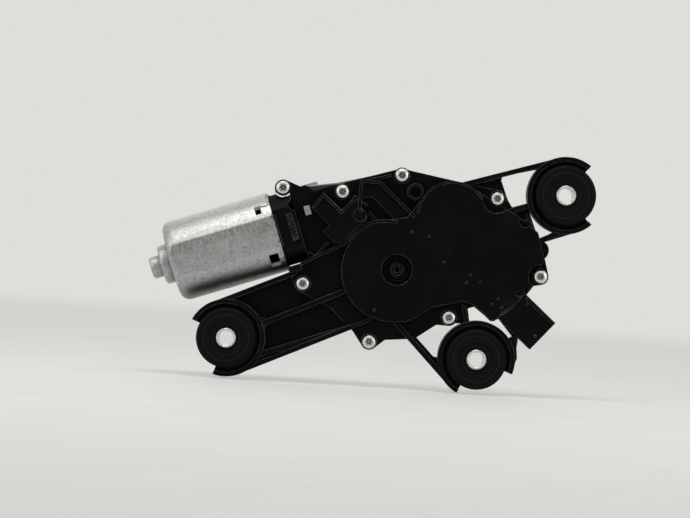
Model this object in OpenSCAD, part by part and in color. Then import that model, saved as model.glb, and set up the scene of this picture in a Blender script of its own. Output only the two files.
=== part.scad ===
// Rear wiper motor: a flat-sided motor can and a worm gearbox on a three-armed plastic carrier.
// The model is drawn flat, with its front face up, and is stood upright at the end of the file.
// Origin: the output shaft's axis in the mid-plane of the three rubber mounts.

/* [Gear train] */
// Module of the worm gear and of the small gears
gear_module = 1; // [0.9:0.05:1.1]
// Teeth of the worm wheel
wheel_teeth = 64; // [62:1:66]
// Width of the worm wheel's rim
wheel_w = 8; // [7:0.5:8.5]
// Pitch radius of the worm
worm_pitch_r = 6; // [5.8:0.1:6.4]
// Length of the worm's thread
worm_l = 19; // [16:1:22]
// Thickness of a tooth at the pitch line, in modules
tooth_share = 1.35; // [1.2:0.01:1.42]
// Play between the wheel's face and what turns above it
face_gap = 0.3; // [0.2:0.05:0.5]
// Radius of the wheel's axle
axle_r = 4; // [3:0.25:4.5]

/* [Linkage] */
// Distance from the worm wheel's axis to the output shaft
axis_gap = 41.3; // [41:0.1:42]
// Direction from the worm wheel's axis to the output shaft
axis_angle = 47.3; // [45:0.1:50]
// Radius of the crank pin's circle
crank_r = 9; // [8:0.5:10]
// Length of the coupler, from crank pin to link pin
coupler_l = 31; // [30:0.5:32]
// Teeth of the output pinion
pinion_teeth = 24; // [22:2:24]
// Teeth that a full ring of the coupler's toothed segment would have
segment_teeth = 18; // [17:1:18]
// Thickness of the coupler and the pinion
coupler_t = 3; // [2.5:0.1:3.2]
// Thickness of the link
link_t = 2; // [1.5:0.1:2.2]
// Radius of the crank pin and the link pin
pin_r = 3; // [2.5:0.1:3.2]

/* [Output shaft] */
// Radius of the output shaft
shaft_r = 5; // [4:0.25:5.2]
// How far the shaft stands behind the mounting plane
shaft_l = 75; // [68:1:85]
// Length of the thread at its end
shaft_thread_l = 10; // [8:1:14]
// Length of the knurled cone
shaft_cone_l = 8; // [6:1:10]
// How far the bearing tower reaches behind the mounting plane
tower_l = 46; // [40:1:52]
// Radius of its journal in the link
journal_r = 3.5; // [3:0.1:3.8]
// Length of the output bushes
bush_l = 9; // [8:0.5:12]
// Wall of the output bushes
bush_wall = 1.5; // [1.2:0.1:2]

/* [Motor] */
// Direction of the motor's axis, up from level
motor_angle = 20; // [18:0.5:22]
// How far the motor's axis lies behind the mounting plane
motor_depth = 10; // [9.5:0.1:11]
// Diameter of the steel can
can_d = 44.2; // [41:0.5:46]
// How deep each flat cuts into the can's round
flat_cut = 1.8; // [1.2:0.1:2.2]
// Length of the can
can_l = 60.2; // [54:0.5:66]
// Wall of the can
can_wall = 1.6; // [1.2:0.1:2]
// Distance from the can's mouth to the foot of the wheel's axis
can_mouth = 56; // [55:0.5:60]
// Depth of the brush holder block
block_t = 12; // [11:0.5:13]
// Diameter of the rear bearing's cup
cup_d = 21.5; // [20:0.5:23]
// Depth of the rear bearing's cup
cup_l = 5.5; // [5:0.5:7]
// Diameter of the cap at the end of the shaft
cap_d = 12; // [11:0.5:13]
// Depth of that cap
cap_l = 6; // [4:0.5:8]
// Length of the magnets
magnet_l = 40; // [34:1:44]
// Thickness of the magnets
magnet_t = 4.6; // [4:0.1:5.2]
// Length of the armature's laminations
core_l = 34; // [28:1:36]
// Radius of the commutator
comm_r = 9; // [8.5:0.1:9.5]
// Radius of the armature's shaft
arm_shaft_r = 4; // [3.5:0.1:4.2]
// Gap between the armature and the magnets
air_gap = 0.6; // [0.5:0.1:0.9]
// Slots in the armature's laminations
slot_count = 10; // [8:1:12]
// Bars of the commutator
bar_count = 10; // [8:1:12]

/* [Gear housing] */
// Wall of the casting round the wheel
cast_wall = 2.6; // [2.5:0.1:3.5]
// Floor of the casting
cast_floor = 3; // [2.5:0.1:4]
// Room round the wheel's teeth
wheel_room = 1; // [0.8:0.1:1.6]
// Radius of the worm's tunnel
tunnel_r = 8.2; // [8:0.1:8.6]
// Thickness of the casting's rim flange
rim_t = 4; // [3:0.5:5]
// Thickness of the gasket
gasket_t = 0.8; // [0.5:0.1:1]

/* [Carrier] */
// Thickness of the carrier's plate
plate_t = 2.5; // [2:0.1:3]
// Height of the raised cover over the gears
dome_h = 6.5; // [6:0.1:8]
// Thickness of the raised cover
dome_wall = 2.2; // [1.8:0.1:2.4]
// Width of the ribs
rib_w = 2.6; // [2.2:0.1:3]
// Width of the thin walls on the plate
thin_w = 1.5; // [1.2:0.1:1.8]
// How far the arm ribs stand on each side of the mounting plane
rib_h = 5; // [4:0.5:6]
// Thickness of the arm floors
web_t = 3; // [2.5:0.1:3.5]
// Radius of the cover over the wheel
dome_r = 27.3; // [26:0.1:28]
// Radius of the cover over the output shaft
lobe_r = 18.9; // [18:0.1:20]
// Radius of the screw bosses
boss_r = 4.5; // [4.3:0.1:5]

/* [Rubber mounts] */
// Outer radius of the C-shaped rings
ring_r = 20.9; // [20:0.1:22]
// Wall of the rings' collars
ring_wall = 2.3; // [1.8:0.1:2.8]
// Half the height of the collars
ring_h = 6; // [5:0.5:7]
// Thickness of the rings' floors
ring_floor = 4; // [3:0.5:5]
// Radius of the rubber grommets
grommet_r = 16.2; // [15:0.1:17]
// Height of the grommets
grommet_h = 16; // [14:0.5:18]
// Radius of the grommets' necks
neck_r = 11; // [10:0.1:12]
// Outer radius of the steel sleeves
sleeve_r = 5.4; // [5:0.1:5.8]
// Radius of the bolt hole in the sleeves
bolt_hole_r = 4; // [3.6:0.1:4.3]
// How far a sleeve stands out of its grommet
sleeve_proud = 0.5; // [0.2:0.1:1]
// Half the angle that the rings leave open
ring_open = 49; // [44:1:52]

/* [Plug] */
// Width of the plug housing
plug_w = 19.8; // [18:0.2:21]
// Length of the plug housing
plug_l = 21.6; // [20:0.2:25]
// Depth of the plug housing, front to back
plug_h = 14; // [12:0.5:15]
// Wall of the plug housing
plug_wall = 1.7; // [1.4:0.1:2.2]
// Terminals in the plug
terminal_count = 4; // [2:1:5]

/* [Screws] */
// Radius of the screw heads
head_r = 3.7; // [3.4:0.1:4]
// Height of the screw heads
head_h = 2.5; // [2:0.1:3]
// Radius of the screw shanks
screw_r = 1.9; // [1.7:0.05:2.1]
// Length of the screw shanks
screw_l = 12; // [10:0.5:14]
// Radius of the six-lobed sockets in the heads
socket_r = 1.9; // [1.5:0.1:2.1]
// Depth of those sockets
socket_depth = 1.7; // [1.2:0.1:2]

/* [Clearances] */
// Radial play of a shaft in its bearing
run_gap = 0.05; // [0.02:0.01:0.08]
// Play of a piece in its seat
seat_gap = 0.05; // [0.02:0.01:0.1]
// Space between parts that move past each other
move_gap = 0.5; // [0.3:0.1:0.8]

/* [Hidden] */
$fn = 64;

eps = 0.01;
function polar(r, a) = [r * cos(a), r * sin(a)];
function direction(p, q) = atan2(q[1] - p[1], q[0] - p[0]);

// Gear train, worked out from the module and the tooth counts
shaft_at = [0, 0];
wheel_at = -polar(axis_gap, axis_angle);
wheel_pitch_r = gear_module * wheel_teeth / 2;
wheel_tip_r = wheel_pitch_r + gear_module;
wheel_root_r = wheel_pitch_r - 1.25 * gear_module;
worm_tip_r = worm_pitch_r + gear_module;
worm_root_r = worm_pitch_r - 1.25 * gear_module;
thread_pitch = PI * gear_module;
lead_angle = atan(thread_pitch / (2 * PI * worm_pitch_r));
motor_z = -motor_depth;
can_flats = can_d - 2 * flat_cut;
can_back = -can_mouth - can_l;
can_inner_r = can_d / 2 - can_wall;
holder_lip = 3;
winding_l = 6;
winding_gap = 2.1;
core_mid = -can_mouth - holder_lip - winding_gap - winding_l - core_l / 2;
core_r = can_inner_r - magnet_t - air_gap;
motor_foot = wheel_at + polar(wheel_pitch_r + worm_pitch_r, motor_angle + 90);
wheel_bottom = motor_z - wheel_w / 2;
wheel_top = motor_z + wheel_w / 2 + 1;
// Angles that put a crest of the thread in a gap of the wheel at rest
thread_phase = -90 - 180 * worm_l / thread_pitch;
tooth_phase = motor_angle + 90 + 180 / wheel_teeth;
shaft_tip = worm_l / 2 + 7;

// Linkage at rest, with the crank pin on the line between the two axes
pinion_pitch_r = gear_module * pinion_teeth / 2;
segment_pitch_r = gear_module * segment_teeth / 2;
link_l = pinion_pitch_r + segment_pitch_r;
near_d = axis_gap - crank_r;
far_d = axis_gap + crank_r;
function link_turn(d) = acos((link_l ^ 2 + d ^ 2 - coupler_l ^ 2) / (2 * link_l * d));
link_rest = axis_angle + 180 + link_turn(near_d);
link_end = axis_angle + 180 + link_turn(far_d);
link_pin_at = polar(link_l, link_rest);
link_pin_end = polar(link_l, link_end);
crank_pin_at = wheel_at + polar(crank_r, axis_angle);
coupler_rest = direction(crank_pin_at, link_pin_at);
coupler_bottom = wheel_top + 1;
coupler_top = coupler_bottom + coupler_t;
link_bottom = coupler_top + face_gap;
link_top = link_bottom + link_t;

// Depths of the casting
cast_top = -gasket_t;
chamber_r = wheel_tip_r + wheel_room;
chamber_bottom = wheel_bottom - wheel_room;
cast_bottom = chamber_bottom - cast_floor;
bay_bottom = coupler_bottom - move_gap - 0.5;
bay_r = segment_pitch_r + gear_module + move_gap;
lobe_room = pinion_pitch_r + gear_module + move_gap + 0.5;
tunnel_end = worm_l / 2 + 14;
tunnel_wall = 2.4;

// Stations along the motor's axis, from the foot of the wheel's axis
flange_x = block_t - can_mouth;
flange_t = 4;
front_seat_l = 8;
front_seat_x = flange_x + flange_t;
plug_wall_x = tunnel_end - 4;
brush_x = 3 - can_mouth;

// Top of the bushes' seat in the bearing tower
tower_step = -20;
// Longer than any cut needs to reach
far = 200;

// Heights on the carrier
hub_r = 8.4;
hub_floor = 2.6;
window_reach = 9;
web_top = plate_t - 0.4;
seat_z = plate_t + 0.8;
// Reach of the arms' outlines into the rings' collars
arm_r = ring_r - 0.2;
plug_top = dome_h - 0.4;

// Screws, clockwise from the top left one
screw_at = [
    [-92.1, 9.8], [-59.9, 9.7], [-28.5, 20.6], [23.6, 11.3],
    [49.4, -29.2], [1.6, -54.4], [-40.5, -70.0], [-78.2, -41.1]
];
// Rubber mounts: centre and direction of the ring's opening
left_mount = [-117.5, -72.8, 204];
right_mount = [60.2, 15.3, 4];
lower_mount = [17.7, -75.9, 292];
mounts = [left_mount, right_mount, lower_mount];
// Centre of the round cover over the wheel
dome_at = [-30.5, -31.2];
// The plug housing's inner end and direction
plug_at = [36.2, -47];
plug_angle = -40.6;

// Corners of outlines, each a circle: x, y and radius
function corner(p, r) = [p[0], p[1], r];
// How far the casting's rim keeps inside the plate's edge
rim_inset = 0.7;
// The edge that the plate and the casting share, from the lobe round to the left side
shared_corners = [
    corner(screw_at[2], 3.8), [-23.8, 18.8, 4.6], corner(shaft_at, lobe_r + 0.4), corner(screw_at[3], boss_r),
    [33, 1.2, 2.6], [44.7, -7, 2.5], [48.3, -19.6, 3], corner(screw_at[4], boss_r), [44, -31.2, 3.6],
    [40.3, -37.5, 3.1],
    [31, -46.5, 4], [25.3, -52.7, 2.1], [15.2, -45, 2.4], [9.8, -47, 2.3], corner(screw_at[5], boss_r),
    [-5.6, -56.6, 2.1], [-16.2, -64.4, 2.1], [-21, -65.2, 2.3], [-33, -66.4, 2.3],
    corner(screw_at[6], boss_r),
    [-47.8, -63.8, 2.2], [-60, -50, 4], corner(screw_at[7], boss_r), [-84, -30, 4]
];
// Corners of the carrier's plate: it dips beside the first screw and bares the casting there
plate_corners = concat(
    [corner(screw_at[0], boss_r), [-82.6, 6.5, 4.3], [-80.4, 9, 2.9], [-76.2, 7, 2.2]],
    shared_corners
);
// Corners of the casting's rim, under the plate
rim_corners = concat(
    [[-89.3, 9.5, 4], [-82.5, 6, 3.5], [-78.5, 8.2, 3.8], [-62, 10.6, 4.1]],
    [for (c = shared_corners) [c[0], c[1], c[2] - rim_inset]]
);
// Corners of the raised cover
dome_corners = [
    corner(shaft_at, lobe_r), [33, 1.2, 2.2], [44.6, -7, 2.2], [48.2, -19.6, 2.5], [43.5, -31, 2.7],
    [40.2, -37, 2.6], [31, -46.4, 3.4], [25.2, -52.4, 1.6], [15.2, -44.8, 2], [8.6, -42.6, 2.1],
    [-9.6, -47.6, 2.2], [-17, -53.2, 2.4], [-22.5, -55.7, 2.5], corner(dome_at, dome_r), [-22, -4.6, 3.2]
];
// Sunken seats in the raised cover: screw number and radius
seat_cuts = [[3, 8], [4, 6.6]];
// Lug beside the raised cover, and the stud in its own seat
lug_at = [47.7, -15];
lug_r = 5.4;
stud_at = [39.5, 0.4];
// Moulded pips on the raised cover
pips = [
    [-21.5, -9.5], [-11.7, -11.4], [-3.2, -24.9], [11.7, -30.6], [9.8, -34.8], [17.4, -34.3], [24.1, -45.8],
    [27.4, -42.6], [29.3, -47.2], [-38.8, -52.8]
];

// Colours
black_plastic = "#1d1d1f";
black_rubber = "#161616";
cast_metal = "#b9bcbe";
zinc_steel = "#c4c5c2";
steel = "#9a9da1";
copper = "#b87333";
bronze = "#a9793c";
acetal = "#e8e4d8";

// Plain shapes

// Two circles and the straight sides that just cross both
module bar2d(p, q, rp, rq) {
    gap = norm([q[0] - p[0], q[1] - p[1]]);
    a = direction(p, q);
    turn = acos((rp - rq) / gap);
    ends = [[p, rp, -turn], [q, rq, -turn], [q, rq, turn], [p, rp, turn]];
    translate([p[0], p[1]]) circle(r = rp);
    translate([q[0], q[1]]) circle(r = rq);
    polygon([for (e = ends) [e[0][0], e[0][1]] + polar(e[1] - eps, a + e[2])]);
}

// A closed outline with round corners, listed clockwise and grown by g
module belt2d(corners, g = 0) {
    n = len(corners);
    for (i = [0:n - 1]) {
        p = corners[i];
        q = corners[(i + 1) % n];
        bar2d(p, q, p[2] + g, q[2] + g);
    }
    polygon([for (i = [n - 1:-1:0]) [corners[i][0], corners[i][1]]]);
}

// A straight rib with round ends
module rib(p, q, z0, z1, w = rib_w) {
    slab(z0, z1) bar2d(p, q, w / 2, w / 2);
}

// A wall of even width along a chain of points
module wall_path(points, z0, z1, w) {
    slab(z0, z1) for (i = [0:len(points) - 2]) bar2d(points[i], points[i + 1], w / 2, w / 2);
}

// Extrudes an outline between two heights
module slab(z0, z1) {
    translate([0, 0, z0]) linear_extrude(z1 - z0) children();
}

// A disc between two heights
module disc(p, r, z0, z1) {
    translate([p[0], p[1], z0]) cylinder(r = r, h = z1 - z0);
}

// A ring between two heights
module tube(p, r, hole, z0, z1) {
    difference() {
        disc(p, r, z0, z1);
        disc(p, hole, z0 - 1, z1 + 1);
    }
}

// Part of a circle's ring, from angle a to angle b
module arc2d(r, hole, a, b) {
    steps = 8;
    reach = r * 1.5;
    intersection() {
        difference() {
            circle(r = r);
            circle(r = hole);
        }
        polygon([[0, 0], for (i = [0:steps]) polar(reach, a + (b - a) * i / steps)]);
    }
}

// Places its children on the motor's axis, with x along the axis towards the worm
module on_motor(x = 0) {
    translate([motor_foot[0], motor_foot[1], motor_z]) rotate(motor_angle) translate([x, 0, 0]) children();
}

// The same, with the children's z along the axis
module along_motor(x = 0) {
    on_motor(x) rotate([0, 90, 0]) children();
}

// The can's outline, seen along its axis
module can_outline(d, flats) {
    intersection() {
        circle(d = d);
        square([flats, d + 2], center = true);
    }
}

// One gear outline with straight-sided teeth; it is cut to the teeth between two angles
module gear2d(teeth, thick, phase = 0, add = 1, deduct = 1.25) {
    r = gear_module * teeth / 2;
    half = thick * gear_module / 2;
    slope = tan(20);
    tip = half - add * gear_module * slope;
    foot = half + deduct * gear_module * slope;
    ro = r + add * gear_module;
    ri = r - deduct * gear_module;
    at = [[ri, -foot], [ro, -tip], [ro, tip], [ri, foot]];
    polygon([
        for (i = [0:teeth - 1])
            for (p = at) polar(p[0], phase + 360 / teeth * i + p[1] / p[0] * 180 / PI)
    ]);
}

// Gearbox castings and covers

// The wheel chamber, the bay for the linkage and the worm's tunnel, as room g round them
module chamber(g = 0, low = 0) {
    disc(wheel_at, chamber_r + g, chamber_bottom - low, 1);
}

module linkage_bay(g = 0, low = 0) {
    slab(bay_bottom - low, 1) {
        bar2d(link_pin_at, link_pin_end, bay_r + g, bay_r + g);
        circle(r = lobe_room + g);
    }
}

module gear_housing() {
    color(cast_metal) difference() {
        union() {
            intersection() {
                union() {
                    chamber(cast_wall, cast_floor);
                    linkage_bay(cast_wall, cast_floor - 0.5);
                    along_motor(flange_x) cylinder(r = tunnel_r + tunnel_wall, h = tunnel_end - flange_x);
                    along_motor(flange_x) linear_extrude(flange_t) can_outline(can_d, can_flats);
                    on_motor(flange_x) translate([0, -can_d / 2 + 2, -can_flats / 2 + 4])
                        cube([16, can_d - 4, can_flats / 2 + 4]);
                    for (p = screw_at) disc(p, boss_r - 0.9, cast_top - screw_l, 0);
                }
                slab(-far, cast_top) square(4 * far, center = true);
            }
            slab(cast_top - rim_t, cast_top) belt2d(rim_corners);
            bearing_tower();
            for (a = [0:45:315]) floor_rib(a);
        }
        chamber();
        linkage_bay();
        along_motor(front_seat_x + front_seat_l)
            cylinder(r = tunnel_r, h = plug_wall_x - front_seat_x - front_seat_l);
        along_motor(front_seat_x - 1) cylinder(r = tunnel_r, h = front_seat_l + 2);
        along_motor(flange_x - 1) cylinder(r = tunnel_r + 5, h = flange_t);
        slab(-40, 1) block_cutout();
        worm_window();
        for (p = screw_at) disc(p, screw_r + seat_gap, seat_z - screw_l - 1, 1);
        disc(wheel_at, axle_r, cast_bottom - 1, 0);
        disc(shaft_at, shaft_r + bush_wall + seat_gap, -tower_l - 1, tower_step);
        disc(shaft_at, shaft_r + 0.4, tower_step - 10, 0);
    }
}

// Tower that holds the output shaft's bushes
module bearing_tower() {
    foot_r = shaft_r + bush_wall;
    translate([0, 0, -tower_l])
        cylinder(r1 = foot_r + 2.5, r2 = foot_r + 4.5, h = tower_l + bay_bottom - 1);
    for (a = [-30, 60, 150, 240]) rotate(a) tower_rib();
}

// Rib that stiffens the bearing tower
module tower_rib() {
    reach = 17;
    top = bay_bottom - 2;
    foot = 6 - tower_l;
    translate([0, 1, 0]) rotate([90, 0, 0]) linear_extrude(2)
        polygon([[0, foot], [6, foot], [reach, top - 2], [reach, top], [0, top]]);
}

// Low rib across the back of the wheel chamber
module floor_rib(a) {
    translate([wheel_at[0], wheel_at[1], cast_bottom - 1.2]) rotate(a) translate([7, -1, 0])
        cube([chamber_r + cast_wall - 9, 2, 2]);
}

// Opening between the worm's tunnel and the wheel chamber
module worm_window() {
    half = sqrt(chamber_r ^ 2 - (wheel_pitch_r - 2) ^ 2);
    on_motor() translate([-half, -worm_pitch_r - 8, -wheel_w / 2 - wheel_room])
        cube([2 * half, worm_pitch_r + 8, wheel_w + 2 * wheel_room + 8]);
}

module cover_gasket() {
    color("#2b2b2b") slab(cast_top, 0) difference() {
        belt2d(rim_corners, -0.8);
        translate(wheel_at) circle(r = chamber_r + 0.3);
        bar2d(link_pin_at, link_pin_end, bay_r + 0.3, bay_r + 0.3);
        circle(r = lobe_room + 0.3);
        for (p = screw_at) translate(p) circle(r = screw_r + 0.4);
        block_cutout();
    }
}

// What the plate leaves free for the brush holder block
module block_cutout() {
    translate(motor_foot) rotate(motor_angle) translate([-can_mouth - 8, -can_d / 2 + 2])
        square([block_t + 8 + seat_gap, can_d - 4]);
}

module plate2d() {
    difference() {
        belt2d(plate_corners);
        block_cutout();
    }
}

// One rubber mount's C-shaped ring with its recessed floor
module ring(m) {
    translate([m[0], m[1], 0]) rotate(m[2]) {
        slab(-ring_h, ring_h) arc2d(ring_r, ring_r - ring_wall, ring_open, 360 - ring_open);
        slab(-ring_floor / 2, ring_floor / 2)
            arc2d(ring_r - 0.5, neck_r + seat_gap, ring_open, 360 - ring_open);
    }
}

// The space inside a ring and its opening, for cutting the arms
module ring_space(m) {
    reach = 2 * ring_r;
    translate([m[0], m[1], 0]) rotate(m[2]) {
        cylinder(r = ring_r - 0.5, h = 40, center = true);
        translate([0, 0, -20]) linear_extrude(40)
            polygon([[0, 0], polar(reach, -ring_open), [reach, 0], polar(reach, ring_open)]);
    }
}

module left_arm() {
    inner = [-80, -42];
    lower = [-52.6, -60.7];
    inner_r = 8.5;
    lower_r = 4;
    at = [left_mount[0], left_mount[1]];
    mid_z = 0.3;
    slab(mid_z - web_t, mid_z) belt2d([corner(at, arm_r), corner(inner, inner_r), corner(lower, lower_r)]);
    edge_top = direction(at, inner) + acos((arm_r - inner_r) / norm(inner - at));
    edge_low = direction(at, lower) - acos((arm_r - lower_r) / norm(lower - at));
    in = rib_w / 2;
    rib(at + polar(arm_r - in, edge_top), inner + polar(inner_r - in, edge_top), -rib_h, rib_h);
    rib(at + polar(arm_r - in, edge_low), lower + polar(lower_r - in, edge_low), -rib_h, rib_h);
    rib(at + polar(ring_r - 1, 25), [-56.5, -44.1], -rib_h, rib_h);
    rib([-98.5, -62], [-98.5, -82], -rib_h, rib_h - 2);
    rib([-98.5, -80.5], [-50.4, -62.6], -rib_h, rib_h - 1);
    rib([-50.4, -62.6], [-40.5, -58], 1, rib_h - 1, thin_w);
}

module right_arm() {
    root = [5.3, 17];
    root_r = 2.2;
    strut = [24.5, 2.6];
    low = [47.6, -9.9];
    at = [right_mount[0], right_mount[1]];
    difference() {
        slab(web_top - web_t, web_top)
            belt2d([corner(root, root_r), corner(at, arm_r), corner(low, 1.5), [38, -6, 4], [20, 4, 2]]);
        slab(-window_reach, window_reach)
            polygon([[25.2, 21.3], [31, 7], [43, 11], [44, 28.4], [25.6, 23.6]]);
        slab(-window_reach, window_reach)
            polygon([[41.3, 5.6], [47.1, -8.8], [49.4, -8], [55.5, -4.2], [44, 8]]);
    }
    top = direction(root, at) + 90 + asin((arm_r - root_r) / norm(at - root));
    in = rib_w / 2;
    rib(root + polar(root_r - in, top), at + polar(arm_r - in, top), -rib_h, rib_h);
    rib(strut, [41.5, 9], -rib_h + 2, rib_h);
    rib(low, [58, -5], -rib_h, rib_h);
    rib([40.4, 3.6], [45.8, -9.2], 1, plate_t + 2, thin_w);
}

module lower_arm() {
    root = [-26.1, -58.6];
    root_r = 2;
    at = [lower_mount[0], lower_mount[1]];
    edge = direction(root, at) - 90 - asin((arm_r - root_r) / norm(at - root));
    in = rib_w / 2;
    difference() {
        slab(web_top - web_t, web_top)
            belt2d([corner(root, root_r), [0, -50, 4], [31, -52, 2], [37.5, -62.5, 2.2], corner(at, arm_r)]);
        slab(-window_reach, window_reach)
            polygon([[-15.2, -66], [-5.4, -75.8], [-1, -76.5], [3, -70], [8.8, -57], [-4.2, -58]]);
        slab(-window_reach, window_reach) polygon([
            [11.6, -48.8], [14, -62], [30, -66], [36.3, -62.3], [28.4, -53.3], [26.2, -53.8], [24.1, -54.9],
            [15.6, -47.2], [13.4, -47.6]
        ]);
    }
    rib(root + polar(root_r - in, edge), at + polar(arm_r - in, edge), -rib_h, rib_h);
    rib([9.2, -48], [11.4, -57], -rib_h, rib_h, 2);
    slab(-rib_h, rib_h) belt2d([[37.2, -63.4, 1.2], [38.2, -73.6, 1.4], [35.4, -81.8, 1.8],
        [34.6, -72, 1.2]]);
}

module on_plug(x, y, z) {
    translate([plug_at[0], plug_at[1], 0]) rotate(plug_angle) translate([x, y, z]) children();
}

module plug_shell() {
    lip = 1.6;
    root = 3;
    on_plug(-root, -plug_w / 2, plug_top - plug_h) cube([plug_l + root, plug_w, plug_h]);
    on_plug(1, plug_w / 2 - lip - 0.4, plug_top - 1) cube([plug_l - 1.6, lip, 1.7]);
    for (p = [[3.8, 6.6], [18.6, -3]]) on_plug(p[0], p[1], plug_top - 1) cylinder(r = 0.7, h = 1.5, $fn = 16);
}

module plug_hollow() {
    depth = plug_l - 4;
    on_plug(plug_l - depth, -plug_w / 2 + plug_wall, plug_top - plug_h + plug_wall)
        cube([depth + 1, plug_w - 2 * plug_wall, plug_h - 2 * plug_wall]);
}

// Slots between the plug and the raised cover
module plug_slots() {
    slab(plate_t + 0.9, 30) {
        polygon([[38.4, -41.2], [41.9, -38.6], [40.4, -36.9], [36.2, -38.7]]);
        polygon([[29, -51.4], [36.6, -44.6], [35.4, -43.4], [30.6, -46.4]]);
    }
}

module plate_details() {
    low = plate_t - 1;
    wall_top = dome_h + 0.5;
    face_top = dome_h - 1;
    // Rim wall from the brush holder, in a curve along the round cover's top
    wall_path([
        [-79.5, -30.4], [-72, -26], [-62.7, -21.4], [-57, -18], [-54.3, -15.4], [-51.6, -11.6], [-48, -8.5],
        [-43.8, -6.1], [-40, -5.1], [-34.6, -4.5], [-30, -4.6]
    ], low, wall_top - 0.2, thin_w);
    // Raised channel beside the round cover
    slab(low, face_top) polygon([[-48.4, 7.4], [-43.6, 7.8], [-30.4, -4], [-21.5, -1.2], [-40, 15.5],
        [-48.6, 15.2]]);
    wall_path([[-50.3, 15.9], [-40, 16], [-20.6, -1]], low, wall_top, thin_w);
    wall_path([[-44.6, -0.9], [-41, -4.6]], low, face_top + 0.6, thin_w);
    wall_path([[-46.8, 16.6], [-34.9, 20.1]], low, face_top - 1.4, thin_w - 0.3);
    tube([-20.7, 12.2], 4.4, 3.3, low, plate_t + 2.5);
    // Thin wall below the filter box
    wall_path([[-71.6, -25.4], [-66.3, -18]], low, face_top - 1, thin_w - 0.3);
    // Foot beside the can's mouth
    slab(low, wall_top + 0.8) translate(motor_foot) rotate(motor_angle)
        translate([-can_mouth + 0.4, -can_d / 2 - 1.4]) square([6.6, 3.1]);
}

// The carrier's plate, raised cover and ribs, with room cut for the screw heads
// The raised cover, with its sunken seats, rims and pips
module raised_cover() {
    difference() {
        slab(0, dome_h) belt2d(dome_corners);
        for (c = seat_cuts) disc(screw_at[c[0]], c[1], plate_t + 0.2, 30);
        slab(plate_t + 0.2, 30) bar2d(stud_at, stud_at + [2.4, 5], 3.6, 3.6);
        plug_slots();
    }
    slab(dome_h - 1, dome_h + 0.6) difference() {
        arc2d(lobe_r + 0.3, lobe_r - 0.9, 36, 178);
        translate(screw_at[3]) circle(r = 8);
    }
    disc(stud_at, 0.9, plate_t - 0.6, plate_t + 1.9);
    for (p = pips) translate([p[0], p[1], dome_h - 0.6]) cylinder(r = 0.7, h = 1.1, $fn = 16);
}

// The carrier's plate, raised cover and ribs, with room cut for the screw heads
module cover_body() {
    difference() {
        union() {
            slab(0, plate_t) plate2d();
            disc(lug_at, lug_r, 0.4, plate_t + 1.4);
            raised_cover();
            difference() {
                union() {
                    left_arm();
                    right_arm();
                    lower_arm();
                    plug_shell();
                }
                for (m = mounts) ring_space(m);
                slab(-20, eps) {
                    belt2d(rim_corners, 0.3);
                    translate(wheel_at) circle(r = chamber_r + cast_wall + 0.3);
                }
            }
            plate_details();
        }
        for (p = screw_at) disc(p, head_r + 1, plate_t + 0.4, 30);
    }
}

module cover_carrier() {
    color(black_plastic) {
        difference() {
            union() {
                difference() {
                    cover_body();
                    gear_space();
                }
                for (p = screw_at) disc(p, boss_r - 0.2, 0.5, seat_z);
                for (m = mounts) ring(m);
                disc(wheel_at, hub_r + 1.4, hub_floor - 1.4, dome_h - dome_wall + 0.5);
            }
            plug_hollow();
            for (p = screw_at) disc(p, screw_r + 0.4, -10, 30);
            disc(wheel_at, hub_r, hub_floor, 30);
        }
        hub_ring();
    }
}

// Room under the raised cover for the linkage
module gear_space() {
    slab(-1, dome_h - dome_wall) {
        translate(dome_at) circle(r = dome_r - dome_wall);
        bar2d(link_pin_at, link_pin_end, bay_r, bay_r);
        circle(r = lobe_room);
    }
}

// Cone and ring in the sunken hub over the wheel's axle
module hub_ring() {
    ring_top = dome_h - 0.9;
    translate([wheel_at[0], wheel_at[1], hub_floor - 0.5]) difference() {
        union() {
            cylinder(r1 = 6.4, r2 = 4.4, h = 1.6);
            cylinder(r = 3.2, h = ring_top - hub_floor + 0.5);
        }
        translate([0, 0, 0.8]) cylinder(r = 1.6, h = 10);
    }
}

module cover_screws() {
    color(zinc_steel) for (p = screw_at) {
        translate([p[0], p[1], seat_z]) difference() {
            union() {
                rotate_extrude() polygon([
                    [0, 0], [head_r, 0], [head_r, head_h * 0.5], [head_r * 0.86, head_h * 0.85],
                    [head_r * 0.62, head_h],
                    [0, head_h]
                ]);
                translate([0, 0, -screw_l]) cylinder(r = screw_r, h = screw_l + 0.5);
            }
            translate([0, 0, head_h - socket_depth]) linear_extrude(socket_depth + 1) torx2d(socket_r);
        }
    }
}

// Six-lobed driver socket
module torx2d(r) {
    circle(r = r * 0.8);
    for (a = [0:60:300]) rotate(a) translate([r * 0.72, 0]) circle(r = r * 0.28);
}

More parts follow.
